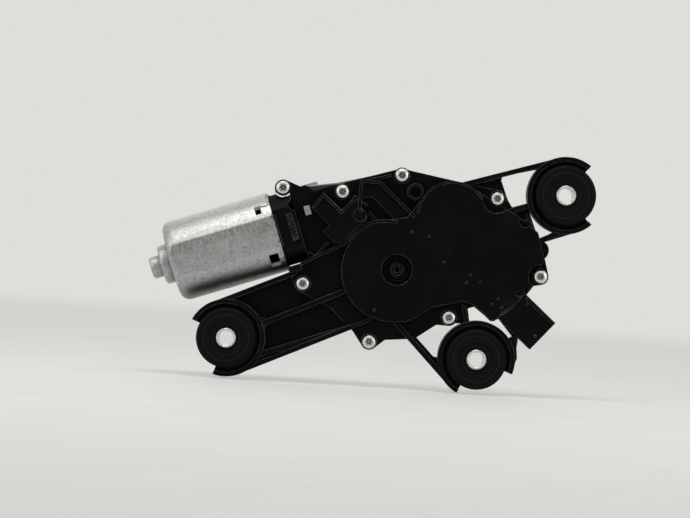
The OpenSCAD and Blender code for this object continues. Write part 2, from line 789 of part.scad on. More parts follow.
module filter_box() {
    face = dome_h + 0.7;
    rim = face + 0.7;
    outline = [
        [-75.9, 0.2], [-65.7, -8.8], [-68.9, -12.6], [-62.8, -17.9], [-60.1, -18.4], [-57.9, -16.8],
        [-55.5, -14.6],
        [-52.9, -10.8], [-49.1, -7.4], [-46, -5], [-46, -2.4], [-51.2, 3.8],
        [-51.2, 6.4], [-53, 7.7], [-54.8, 5.8], [-59.6, -0.3], [-70, 8.5]
    ];
    lever_x = -50.2;
    color(black_plastic) {
        difference() {
            union() {
                slab(plate_t, face) polygon(outline);
                wall_path([[-75, 0.6], [-70.1, 7.4], [-59.7, -1.5], [-54.9, 4.5]], plate_t + 0.5, rim,
                    thin_w - 0.2);
                wall_path([[lever_x, -1], [lever_x, 13.8]], plate_t + 0.3, rim - 0.3, 1.9);
                disc([lever_x + 0.4, -2.2], 3.5, plate_t + 0.7, rim + 0.2);
                disc([-52.9, 6.7], 1.4, plate_t + 0.4, rim - 0.5);
                wall_path([[lever_x + 0.8, 4.9], [-46.6, 3.4]], plate_t + 0.6, rim - 0.6, 0.9);
            }
            slab(plate_t - 1, plate_t + 3.6)
                polygon([[-73.6, 0.6], [-67, -7.4], [-62.7, -11.3], [-58.4, -6.4], [-69.4, 5.4]]);
            disc([-52.9, 6.7], 0.7, plate_t - 1, 30);
        }
        disc([lever_x + 0.9, 0.1], 0.8, rim - 0.5, rim + 0.9);
    }
}

module terminal_clip() {
    color(steel) on_motor(-38.8) translate([0, 3.8, motor_depth + plate_t]) {
        cube([3.2, 5, 0.8]);
        cube([0.8, 5, 3.6]);
    }
}

// Rubber mounts

module grommet(m) {
    half = grommet_h / 2;
    groove = ring_floor / 2 + seat_gap;
    color(black_rubber) translate([m[0], m[1], 0]) rotate_extrude() polygon([
        [sleeve_r + seat_gap, -half], [grommet_r - 1.2, -half], [grommet_r, -half + 1.2],
        [grommet_r, -groove],
        [neck_r, -groove], [neck_r, groove], [grommet_r, groove], [grommet_r, half - 1.2],
        [grommet_r - 1.2, half], [sleeve_r + 4, half], [sleeve_r + 3.4, half - 0.8],
        [sleeve_r + seat_gap, half - 0.8]
    ]);
}

module sleeve(m) {
    half = grommet_h / 2 + sleeve_proud;
    color(zinc_steel) tube(m, sleeve_r, bolt_hole_r, -half, half);
}

module grommet_left() { grommet(left_mount); }
module grommet_right() { grommet(right_mount); }
module grommet_lower() { grommet(lower_mount); }
module sleeve_left() { sleeve(left_mount); }
module sleeve_right() { sleeve(right_mount); }
module sleeve_lower() { sleeve(lower_mount); }

// Motor

module motor_can() {
    tab_angle = 136;
    color(zinc_steel) {
        difference() {
            intersection() {
                along_motor() rotate_extrude() polygon(can_profile(0));
                on_motor() translate([0, 0, -can_flats / 2]) linear_extrude(can_flats)
                    square(2 * far, center = true);
            }
            intersection() {
                along_motor() rotate_extrude() polygon(can_profile(can_wall));
                on_motor() translate([0, 0, -can_flats / 2 + can_wall])
                    linear_extrude(can_flats - 2 * can_wall)
                    square(2 * far, center = true);
            }
            // Slot for the crimped tab, and the notch below it
            on_motor(-can_mouth - 8.6) translate([0, 11.4, can_flats / 2 - 5]) cube([3.2, 7.2, 8]);
            on_motor(-can_mouth - 8) translate([0, -18, can_flats / 2 - 7]) cube([5, 6.6, 10]);
        }
        along_motor(-can_mouth - 5) rotate(tab_angle) translate([can_d / 2 - 0.5, -0.8, 0])
            cube([1, 1.6, 4.2]);
    }
}

// Half section of the can, drawn a wall's thickness t inside its outer face
function can_profile(t) = let (
    r = can_d / 2 - t,
    back = can_back + t,
    cup_r = cup_d / 2 - t,
    cap_r = cap_d / 2 - t,
    fillet = 5,
    front = -can_mouth + (t > 0 ? 1 : 0)
) [
    [0, back - cup_l - cap_l], [cap_r - 1, back - cup_l - cap_l], [cap_r, back - cup_l - cap_l + 1],
    [cap_r, back - cup_l], [cup_r - 1, back - cup_l], [cup_r, back - cup_l + 1], [cup_r, back],
    for (a = [0:15:90]) [r - fillet + (fillet) * sin(a), back + fillet - fillet * cos(a)],
    [r, front], [0, front]
];

module magnets() {
    color("#3c3f42") for (side = [90, 270]) along_motor(core_mid - magnet_l / 2)
        linear_extrude(magnet_l) arc2d(can_inner_r - seat_gap, core_r + air_gap, side - 52, side + 52);
}

module magnet_springs() {
    spring_t = 1;
    spring_w = 14;
    spring_l = magnet_l - 8;
    color(steel) for (side = [0, 180]) along_motor(core_mid - spring_l / 2) linear_extrude(spring_l)
        rotate(side)
        translate([can_flats / 2 - can_wall - spring_t - 0.2, -spring_w / 2]) square([spring_t, spring_w]);
}

module rear_bearing() {
    color(bronze) along_motor(can_back - cup_l + can_wall + 1) difference() {
        cylinder(r = cup_d / 2 - can_wall - seat_gap, h = cup_l - can_wall + 1);
        translate([0, 0, -1]) cylinder(r = arm_shaft_r + run_gap, h = cup_l + 4);
    }
}

module bearing_retainer() {
    z = can_back + 2 + 2 * seat_gap;
    color(steel) along_motor(z) difference() {
        cylinder(r = cup_d / 2 + 1.5, h = 0.8);
        translate([0, 0, -1]) cylinder(r = arm_shaft_r + 2.5, h = 3);
        for (a = [0:60:300]) rotate(a) translate([arm_shaft_r + 4, -0.8, -1]) cube([3.5, 1.6, 3]);
    }
}

module brush_holder() {
    bore = comm_r + 3;
    block_top = can_flats / 2 - 1.5;
    lip_play = 2 * can_wall + 2 * seat_gap;
    pad_w = 14.6;
    pad_ribs = 7;
    color(black_plastic) {
        difference() {
            union() {
                along_motor(-can_mouth) linear_extrude(block_t) intersection() {
                    can_outline(can_d - 1, 2 * block_top);
                    translate([2, 0]) square([can_flats, can_d - 5], center = true);
                }
                along_motor(-can_mouth - holder_lip) linear_extrude(holder_lip + 1)
                    can_outline(can_d - lip_play, can_flats - lip_play);
            }
            along_motor(-can_mouth - holder_lip - 1) cylinder(r = bore, h = block_t + holder_lip + 2);
            disc(screw_at[0], boss_r + 0.6, -50, 50);
            for (side = [0, 180]) along_motor(-can_mouth + 2.5) rotate(side + 90)
                translate([9, -3.2, 0]) cube([8.4, 6.4, block_t]);
            // Corner taken off beside the screw
            on_motor(-can_mouth + block_t) translate([0, can_d / 2, -1]) rotate(45)
                translate([-10, -10, 0]) cube([20, 5, 30]);
        }
        // Ribbed pad on the front
        on_motor(-can_mouth + block_t - 5) translate([0, -pad_w / 2, block_top - 1]) cube([3.2, pad_w, 1.5]);
        for (i = [0:pad_ribs - 1]) on_motor(-can_mouth + block_t - 4.6)
            translate([0, pad_w * ((i + 0.5) / pad_ribs - 0.5) - 0.5, block_top + 0.1]) cube([2.4, 1, 0.8]);
    }
}

module brush_boxes() {
    color("#c9a45c") for (side = [90, 270]) along_motor(brush_x) rotate(side) translate([comm_r + 1, 0, 0])
        difference() {
            translate([0, -3, 0]) cube([7.2, 6, 7]);
            translate([-1, -2.45, 0.55]) cube([7.6, 4.9, 5.9]);
        }
}

module brushes() {
    color("#2e2e30") for (side = [90, 270]) along_motor(brush_x + 0.6) rotate(side)
        translate([comm_r + 0.1, -2.4, 0]) cube([5, 4.8, 5.8]);
}

module brush_springs() {
    color(steel) for (side = [90, 270]) along_motor(brush_x + 3.5) rotate(side)
        translate([comm_r + 5.15, 0, 0])
        rotate([0, 90, 0]) cylinder(r = 1.6, h = 2.4);
}

module front_bearing() {
    bearing_l = 7;
    color(bronze) along_motor(front_seat_x + seat_gap) difference() {
        cylinder(r = tunnel_r - seat_gap, h = bearing_l);
        translate([0, 0, -1]) cylinder(r = arm_shaft_r + run_gap, h = bearing_l + 2);
    }
}

module thrust_pad() {
    pad_x = shaft_tip + face_gap;
    color(steel) along_motor(pad_x) cylinder(r = tunnel_r - seat_gap, h = plug_wall_x - pad_x - seat_gap);
}

module armature_shaft() {
    back = can_back - cup_l - 2;
    color(steel) along_motor(back) cylinder(r = arm_shaft_r, h = shaft_tip - back);
}

// Cross-section of the single thread: its radius follows the axial profile round one turn
function thread_r(a) = let (
    x = abs(a > 180 ? a - 360 : a) / 360 * thread_pitch,
    tip = (tooth_share / 2 - tan(20)) * gear_module,
    foot = (tooth_share / 2 + 1.25 * tan(20)) * gear_module
) x < tip ? worm_tip_r : x > foot ? worm_root_r : worm_tip_r - (x - tip) / tan(20);

module worm() {
    hub = 3;
    turns = worm_l / thread_pitch;
    color(steel) difference() {
        union() {
            along_motor(-worm_l / 2) rotate(thread_phase)
                linear_extrude(worm_l, twist = -360 * turns, slices = ceil(turns * 16), $fn = 16)
                    polygon([for (a = [0:20:340]) polar(thread_r(a), a)]);
            along_motor(-worm_l / 2 - hub) cylinder(r = worm_root_r + 0.6, h = hub + eps);
            along_motor(worm_l / 2 - eps) cylinder(r = worm_root_r + 0.6, h = hub);
        }
        along_motor(-worm_l / 2 - hub - 1) cylinder(r = arm_shaft_r, h = worm_l + 2 * hub + 2);
    }
}

module lamination_stack() {
    color("#77797c") along_motor(core_mid - core_l / 2) difference() {
        cylinder(r = core_r, h = core_l);
        translate([0, 0, -1]) cylinder(r = arm_shaft_r, h = core_l + 2);
        for (i = [0:slot_count - 1]) rotate(360 / slot_count * i) translate([0, 0, -1]) {
            translate([core_r - 2, -0.8, 0]) cube([4, 1.6, core_l + 2]);
            translate([core_r - 4, 0, 0]) cylinder(r = 2.2, h = core_l + 2);
        }
    }
}

module windings() {
    color(copper) for (end = [-1, 1])
        along_motor(core_mid + end * (core_l + winding_l) / 2 - winding_l / 2 + eps * end) difference() {
            cylinder(r = core_r - 1.6, h = winding_l - 2 * eps);
            translate([0, 0, -1]) cylinder(r = arm_shaft_r + 2, h = winding_l + 2);
        }
}

module commutator() {
    l = 13;
    color(copper) along_motor(-can_mouth - 1) difference() {
        cylinder(r = comm_r, h = l);
        translate([0, 0, -1]) cylinder(r = arm_shaft_r, h = l + 2);
        for (i = [0:bar_count - 1]) rotate(360 / bar_count * i) translate([comm_r - 1, -0.25, 1.5])
            cube([2, 0.5, l]);
    }
}

// Worm wheel and what carries it

module worm_wheel() {
    twist = wheel_w * tan(lead_angle) / wheel_pitch_r * 180 / PI;
    hub_r = 8.5;
    color(acetal) difference() {
        union() {
            translate([wheel_at[0], wheel_at[1], wheel_bottom]) difference() {
                rotate(tooth_phase + twist / 2) linear_extrude(wheel_w, twist = twist, slices = 2)
                    gear2d(wheel_teeth, tooth_share, 0);
                translate([0, 0, -1]) cylinder(r = wheel_root_r - 2, h = wheel_w + 2);
            }
            tube(wheel_at, wheel_root_r - 1, wheel_root_r - 4, wheel_bottom, wheel_top);
            disc(wheel_at, wheel_root_r - 3, wheel_top - 3, wheel_top);
            disc(wheel_at, hub_r, wheel_bottom, wheel_top);
            for (a = [0:60:300]) translate([wheel_at[0], wheel_at[1], wheel_bottom + 1]) rotate(a)
                translate([hub_r - 1, -1, 0]) cube([wheel_root_r - 2 - hub_r, 2, wheel_w]);
        }
        disc(wheel_at, axle_r + run_gap, wheel_bottom - 1, wheel_top + 1);
        disc(wheel_at, 6.4, wheel_top - 2.4, wheel_top + 1);
        disc(crank_pin_at, pin_r + 0.1, wheel_top - 1, wheel_top + 1);
        translate([wheel_at[0], wheel_at[1], wheel_top - 0.5]) linear_extrude(1) contact_ring(seat_gap);
    }
}

// The park switch's copper ring, with its gap
module contact_ring(g = 0) {
    arc2d(25 + g, 19 - g, 200 - g, 520 + g);
}

module contact_disc() {
    color(copper) translate([wheel_at[0], wheel_at[1], wheel_top - 0.5]) linear_extrude(0.5) contact_ring();
}

module wheel_axle() {
    color(steel) disc(wheel_at, axle_r, cast_bottom, wheel_top - 0.6);
}

module wheel_washer() {
    color(steel) tube(wheel_at, 6, axle_r + seat_gap, wheel_top - 2.1, wheel_top - 1.6);
}

module wheel_clip() {
    color(steel) difference() {
        tube(wheel_at, 6, axle_r + seat_gap, wheel_top - 1.55, wheel_top - 0.9);
        translate([wheel_at[0] + 3, wheel_at[1] - 2, wheel_top - 2]) cube([6, 4, 2]);
    }
}

// Linkage

module link_plate() {
    eye = 5.6;
    color(steel) slab(link_bottom, link_top) difference() {
        bar2d(shaft_at, link_pin_at, eye + 0.8, eye);
        circle(r = journal_r + run_gap);
        translate(link_pin_at) circle(r = pin_r);
    }
}

module link_pin() {
    color(steel) {
        disc(link_pin_at, pin_r, coupler_bottom - 0.3, link_top);
        disc(link_pin_at, pin_r + 1, link_top, link_top + 0.7);
    }
}

module coupler_plate() {
    reach = direction(link_pin_at, shaft_at);
    half_turn = direction(wheel_at - polar(crank_r, axis_angle), link_pin_end) - coupler_rest;
    sweep_end = direction(link_pin_end, shaft_at) - half_turn;
    spare = 22;
    sector = reach - sweep_end + 2 * spare;
    color("#a3a6a9") slab(coupler_bottom, coupler_top) difference() {
        union() {
            bar2d(crank_pin_at, link_pin_at, 5.8, segment_pitch_r - 2);
            translate(link_pin_at) intersection() {
                gear2d(segment_teeth, tooth_share, reach);
                polygon([[0, 0], for (i = [0:8]) polar(15, sweep_end - spare + sector * i / 8)]);
            }
        }
        translate(crank_pin_at) circle(r = pin_r);
        translate(link_pin_at) circle(r = pin_r + run_gap);
    }
}

module crank_pin() {
    color(steel) {
        disc(crank_pin_at, pin_r, wheel_top + face_gap, coupler_top);
        disc(crank_pin_at, pin_r + 1.2, coupler_top, coupler_top + 0.6);
    }
}

module output_shaft() {
    thread_top = -shaft_l + shaft_thread_l;
    cone_top = thread_top + shaft_cone_l;
    color(zinc_steel) {
        translate([0, 0, cone_top]) cylinder(r = shaft_r, h = coupler_top - cone_top);
        translate([0, 0, thread_top]) cylinder(r1 = shaft_r - 0.8, r2 = shaft_r, h = shaft_cone_l);
        translate([0, 0, -shaft_l]) cylinder(r = shaft_r - 1.1, h = shaft_thread_l);
        disc(shaft_at, journal_r, coupler_top - 1, link_top + 1);
    }
}

module output_pinion() {
    color(steel) slab(coupler_bottom, coupler_top) difference() {
        gear2d(pinion_teeth, tooth_share, link_rest + 180 / pinion_teeth);
        circle(r = shaft_r);
    }
}

module shaft_circlip() {
    color(steel) difference() {
        tube(shaft_at, journal_r + 2, journal_r, link_top + 0.1, link_top + 0.8);
        translate([2, -1.5, link_top - 1]) cube([6, 3, 4]);
    }
}

module output_bush(z) {
    color(bronze) translate([0, 0, z]) difference() {
        cylinder(r = shaft_r + bush_wall, h = bush_l);
        translate([0, 0, -1]) cylinder(r = shaft_r + run_gap, h = bush_l + 2);
    }
}
module output_bush_upper() { output_bush(tower_step - bush_l - seat_gap); }
module output_bush_lower() { output_bush(-tower_l + 1); }

module shaft_seal() {
    color(black_rubber) tube(shaft_at, shaft_r + bush_wall + 1.5, shaft_r + run_gap, -tower_l - 2.5,
        -tower_l);
}

// Electrical pieces

module park_contacts() {
    leaf_l = 6;
    leaf_z = wheel_top + 1.6;
    color(copper) for (i = [0:2]) rotate_about(wheel_at, 150 + 16 * i) translate([20 + 2 * i, 0, 0]) {
        slab(leaf_z, leaf_z + 0.4) translate([-leaf_l, -1]) square([leaf_l + 0.6, 2]);
        slab(leaf_z, dome_h - dome_wall) translate([-leaf_l, -1]) square([0.5, 2]);
        slab(wheel_top + face_gap, leaf_z + eps) circle(r = 0.6);
    }
}

module rotate_about(p, a) {
    translate([p[0], p[1], 0]) rotate(a) children();
}

module motor_terminals() {
    box_l = 7;
    color(copper) for (side = [90, 270]) along_motor(brush_x + box_l + 0.1) rotate(side)
        translate([comm_r + 2.5, -1.5, 0]) cube([4, 3, block_t - 3 - box_l - 0.4]);
}

module plug_terminals() {
    gap = (plug_w - 2 * plug_wall) / terminal_count;
    color(copper) translate([plug_at[0], plug_at[1], plug_top - plug_h / 2]) rotate(plug_angle)
        for (i = [0:terminal_count - 1]) translate([4, (i - (terminal_count - 1) / 2) * gap - 1, -0.4])
            cube([11, 2, 0.8]);
}

// A place in the filter box, a share of the way along its middle line
box_line = [[-71.5, 3], [-60.5, -8.9]];
function in_box(share) = box_line[0] + share * (box_line[1] - box_line[0]);

module choke_coils() {
    coil_r = 1.6;
    color(copper) for (share = [0.36, 0.7]) translate([each in_box(share), plate_t + coil_r])
        rotate(direction(box_line[0], box_line[1])) rotate([90, 0, 0])
            cylinder(r = coil_r, h = 5.4, center = true);
}

module capacitor() {
    color("#3f5f8f") translate([each in_box(0.1), plate_t]) rotate(direction(box_line[0], box_line[1]))
        translate([-1, -2.4, 0]) cube([2, 4.8, 3.2]);
}

// Stands the flat model upright: its front face looks along -Y
module upright() {
    rotate([90, 0, 0]) children();
}

upright() gear_housing();
upright() cover_carrier();
upright() cover_gasket();
upright() cover_screws();
upright() filter_box();
upright() terminal_clip();
upright() grommet_left();
upright() grommet_right();
upright() grommet_lower();
upright() sleeve_left();
upright() sleeve_right();
upright() sleeve_lower();
upright() motor_can();
upright() magnets();
upright() magnet_springs();
upright() rear_bearing();
upright() bearing_retainer();
upright() brush_holder();
upright() brush_boxes();
upright() brushes();
upright() brush_springs();
upright() choke_coils();
upright() capacitor();
upright() front_bearing();
upright() thrust_pad();
upright() armature_shaft();
upright() worm();
upright() lamination_stack();
upright() windings();
upright() commutator();
upright() worm_wheel();
upright() contact_disc();
upright() wheel_axle();
upright() wheel_washer();
upright() wheel_clip();
upright() link_plate();
upright() link_pin();
upright() coupler_plate();
upright() crank_pin();
upright() output_shaft();
upright() output_pinion();
upright() shaft_circlip();
upright() output_bush_upper();
upright() output_bush_lower();
upright() shaft_seal();
upright() park_contacts();
upright() motor_terminals();
upright() plug_terminals();
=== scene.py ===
import math

import bmesh
import bpy
from mathutils import Matrix, Vector


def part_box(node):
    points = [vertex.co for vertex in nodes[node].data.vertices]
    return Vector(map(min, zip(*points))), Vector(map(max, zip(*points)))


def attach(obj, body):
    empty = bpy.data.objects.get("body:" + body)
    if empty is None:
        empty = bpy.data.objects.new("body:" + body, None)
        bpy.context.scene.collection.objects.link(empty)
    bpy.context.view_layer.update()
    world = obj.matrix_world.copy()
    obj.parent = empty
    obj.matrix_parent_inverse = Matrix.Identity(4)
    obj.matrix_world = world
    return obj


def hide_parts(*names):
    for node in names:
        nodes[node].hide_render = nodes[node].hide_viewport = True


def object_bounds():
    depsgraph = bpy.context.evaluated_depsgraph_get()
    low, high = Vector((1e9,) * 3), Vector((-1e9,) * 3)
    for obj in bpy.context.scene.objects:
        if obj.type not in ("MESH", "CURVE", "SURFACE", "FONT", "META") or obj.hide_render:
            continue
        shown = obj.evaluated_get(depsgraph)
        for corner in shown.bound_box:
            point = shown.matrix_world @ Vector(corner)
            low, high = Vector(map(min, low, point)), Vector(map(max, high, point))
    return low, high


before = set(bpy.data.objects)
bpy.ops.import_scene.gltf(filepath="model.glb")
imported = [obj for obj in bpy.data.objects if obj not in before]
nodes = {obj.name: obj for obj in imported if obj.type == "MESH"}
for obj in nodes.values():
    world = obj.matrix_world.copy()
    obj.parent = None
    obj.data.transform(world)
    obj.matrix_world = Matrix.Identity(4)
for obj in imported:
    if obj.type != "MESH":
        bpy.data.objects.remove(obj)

cad_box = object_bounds()
MM = 0.001

# Places of the flat model in part.scad, in mm: x right, y up, z towards the viewer
MOUNTS = {"left": (-117.5, -72.8), "right": (60.2, 15.3), "lower": (17.7, -75.9)}
SPINDLE = (0.0, 0.0)
PLATE_TOP = 2.5

# The background, which metal shows too
PALE = (0.73, 0.735, 0.70)


def V(x, y, z=0.0):
    """A point of the flat model in the frame, in metres."""
    return Vector((x * MM, -z * MM, y * MM))


def grey(value):
    return (value, value, value)


def shade(color, factor):
    return tuple(min(1.0, v * factor) for v in color)


# Node trees

class Tree:
    """Small helper round the node tree of a material or of the world."""

    def __init__(self, owner):
        owner.use_nodes = True
        self.tree = owner.node_tree
        self.tree.nodes.clear()

    def node(self, kind, **settings):
        n = self.tree.nodes.new(kind)
        for key, value in settings.items():
            setattr(n, key, value)
        return n

    def link(self, a, b):
        self.tree.links.new(a, b)

    def feed(self, socket, value):
        """Link the socket to another one, or set it to a number, vector or colour."""
        if isinstance(value, bpy.types.NodeSocket):
            self.link(value, socket)
        elif isinstance(value, tuple) and len(value) == 3 and socket.type == "RGBA":
            socket.default_value = (*value, 1.0)
        else:
            socket.default_value = value

    def ramp(self, value, lo, hi, to_lo=0.0, to_hi=1.0):
        """Smooth step from to_lo, where value is lo, to to_hi, where it is hi."""
        n = self.node("ShaderNodeMapRange", interpolation_type="SMOOTHSTEP")
        self.feed(n.inputs["Value"], value)
        limits = zip(("From Min", "From Max", "To Min", "To Max"), (lo, hi, to_lo, to_hi))
        for key, number in limits:
            n.inputs[key].default_value = number
        return n.outputs["Result"]

    def math(self, kind, a, b=0.0):
        n = self.node("ShaderNodeMath", operation=kind)
        self.feed(n.inputs[0], a)
        self.feed(n.inputs[1], b)
        return n.outputs[0]

    def times(self, a, b):
        return self.math("MULTIPLY", a, b)

    def vector(self, kind, a, b=None):
        """Vector maths, which gives a number for a length or a dot product."""
        n = self.node("ShaderNodeVectorMath", operation=kind)
        self.feed(n.inputs[0], a)
        if b is not None:
            self.feed(n.inputs[1], b)
        return n.outputs["Value" if kind in ("LENGTH", "DOT_PRODUCT") else "Vector"]

    def mix_shader(self, factor, a, b):
        """Shader a where factor is 0, and b where it is 1."""
        n = self.node("ShaderNodeMixShader")
        self.feed(n.inputs["Fac"], factor)
        self.link(a, n.inputs[1])
        self.link(b, n.inputs[2])
        return n.outputs["Shader"]


class Surface(Tree):
    """A material with a Principled shader, laid out in the object's own coordinates."""

    def __init__(self, name):
        self.mat = bpy.data.materials.new(name)
        super().__init__(self.mat)
        self.out = self.node("ShaderNodeOutputMaterial")
        self.shader = self.node("ShaderNodeBsdfPrincipled")
        self.link(self.shader.outputs["BSDF"], self.out.inputs["Surface"])
        self.coords = self.node("ShaderNodeTexCoord").outputs["Object"]

    def scaled(self, scale, vector=None):
        """Coordinates times a scale for each axis: a small scale draws a pattern out long."""
        n = self.node("ShaderNodeMapping")
        self.link(vector or self.coords, n.inputs["Vector"])
        n.inputs["Scale"].default_value = scale
        return n.outputs["Vector"]

    def noise(self, size, detail=3.0, rough=0.5, vector=None, distortion=0.0):
        """Noise whose lumps are about size metres across."""
        n = self.node("ShaderNodeTexNoise")
        self.link(vector or self.coords, n.inputs["Vector"])
        n.inputs["Scale"].default_value = 1.0 / size
        n.inputs["Detail"].default_value = detail
        n.inputs["Roughness"].default_value = rough
        n.inputs["Distortion"].default_value = distortion
        return n.outputs["Fac"]

    def band(self, value, start, full, fading, end):
        """1 where value lies between full and fading, and 0 outside start and end."""
        return self.times(self.ramp(value, start, full), self.ramp(value, fading, end, 1.0, 0.0))

    def mix(self, factor, a, b):
        n = self.node("ShaderNodeMix", data_type="RGBA")
        self.feed(n.inputs["Factor"], factor)
        self.feed(n.inputs["A"], a)
        self.feed(n.inputs["B"], b)
        return n.outputs["Result"]

    def layers(self, color, *coats):
        """The colour under coats of (mask, share, tint), each laid over the ones before it."""
        for mask, share, tint in coats:
            color = self.mix(mask if share == 1 else self.times(mask, share), color, tint)
        return color

    def bump(self, height, distance, strength, normal):
        """The normal with relief distance metres high, at the given strength."""
        n = self.node("ShaderNodeBump")
        self.link(height, n.inputs["Height"])
        n.inputs["Distance"].default_value = distance
        n.inputs["Strength"].default_value = strength
        self.link(normal, n.inputs["Normal"])
        return n.outputs["Normal"]

    def edges(self, radius, lo=0.02, hi=0.25):
        """A mask that is 1 along edges and 0 on flat faces, and the rounded normal."""
        bevel = self.node("ShaderNodeBevel", samples=4)
        bevel.inputs["Radius"].default_value = radius
        rounded = bevel.outputs["Normal"]
        flat = self.node("ShaderNodeNewGeometry").outputs["Normal"]
        turn = self.math("SUBTRACT", 1.0, self.vector("DOT_PRODUCT", rounded, flat))
        return self.ramp(turn, lo, hi), rounded

    def corners(self, distance, deepest, open_at):
        """A mask for painted shade that is 1 deep in corners within distance metres, and 0 in the
        open.
        """
        n = self.node("ShaderNodeAmbientOcclusion", samples=4)
        n.inputs["Distance"].default_value = distance
        return self.ramp(n.outputs["AO"], deepest, open_at, 1.0, 0.0)

    def finish(self, color, rough, normal=None, metallic=0.0, specular=0.5):
        s = self.shader.inputs
        self.feed(s["Base Color"], color)
        self.feed(s["Roughness"], rough)
        s["Metallic"].default_value = metallic
        s["Specular IOR Level"].default_value = specular
        if normal is not None:
            self.link(normal, s["Normal"])
        return self.mat


# Materials

def moulded_plastic():
    """Black glass-filled plastic: short fibres under the skin, painted shade in corners, and
    edges painted pale, partly as wear and partly as painted highlights.
    """
    t = Surface("glass_filled_black")
    grain = t.noise(0.00035, 4, 0.7)
    waves = t.noise(0.012, 2, 0.5)
    fibre_a = t.noise(0.0009, 2, 0.6, t.scaled((1, 1, 0.16)))
    fibre_b = t.noise(0.0009, 2, 0.6, t.scaled((0.16, 1, 1)))
    fibres = t.math("MAXIMUM", t.ramp(fibre_a, 0.66, 0.76), t.ramp(fibre_b, 0.66, 0.76))
    cloud = t.ramp(t.noise(0.022, 5, 0.62, distortion=0.6), 0.42, 0.72)
    flecks = t.ramp(t.noise(0.0011, 2, 0.5), 0.79, 0.84)
    edge, soft = t.edges(0.00042, 0.01, 0.16)
    # Edges painted pale, partly as wear and partly as a painted highlight where edges catch light
    edge_wear_and_highlight = t.times(edge, t.ramp(t.noise(0.007, 4, 0.7), 0.3, 0.7, 0.25, 1.0))
    # Painted shade: the colour goes near black deep in corners
    corner_shade = t.corners(0.006, 0.3, 1.0)
    color = t.layers(
        (0.0026, 0.0026, 0.0028),
        (fibres, 0.12, grey(0.012)),
        (cloud, 0.03, (0.05, 0.048, 0.044)),
        (corner_shade, 1, grey(0.0004)),
        (flecks, 0.5, (0.2, 0.2, 0.19)),
        (edge_wear_and_highlight, 0.8, (0.23, 0.23, 0.225)))
    rough = t.math("ADD", t.ramp(cloud, 0, 1, 0.4, 0.54), t.times(fibres, -0.08))
    normal = t.bump(waves, 0.00012, 0.6, soft)
    normal = t.bump(t.math("ADD", grain, t.times(fibres, 0.35)), 0.00004, 0.55, normal)
    return t.finish(color, rough, normal, specular=0.055)


def mount_rubber(name, centre):
    """Black rubber with two moulded step lines round the mount's centre, (x, y) in mm, with
    painted highlights along the step lines and the edges.
    """
    t = Surface(name)
    grain = t.noise(0.0005, 5, 0.65)
    bloom = t.ramp(t.noise(0.009, 5, 0.65), 0.4, 0.75)
    edge, soft = t.edges(0.0004)
    flat = t.vector("MULTIPLY", t.vector("SUBTRACT", t.coords, V(*centre)), (1.0, 0.0, 1.0))
    reach = t.vector("LENGTH", flat)
    outer_step = t.band(reach, 0.0117, 0.0121, 0.0125, 0.0129)
    inner_step = t.band(reach, 0.0072, 0.0075, 0.0077, 0.008)
    line = t.math("MAXIMUM", outer_step, inner_step)
    color = t.layers(
        grey(0.002),
        (bloom, 0.35, (0.006, 0.0059, 0.0057)),
        # Painted highlights: a lighter colour along the step lines and along the edges
        (line, 0.3, grey(0.02)),
        (edge, 0.45, grey(0.04)))
    rough = t.ramp(bloom, 0, 1, 0.62, 0.84)
    normal = t.bump(grain, 0.00005, 0.6, t.bump(line, 0.00012, 0.6, soft))
    return t.finish(color, rough, normal, specular=0.09)


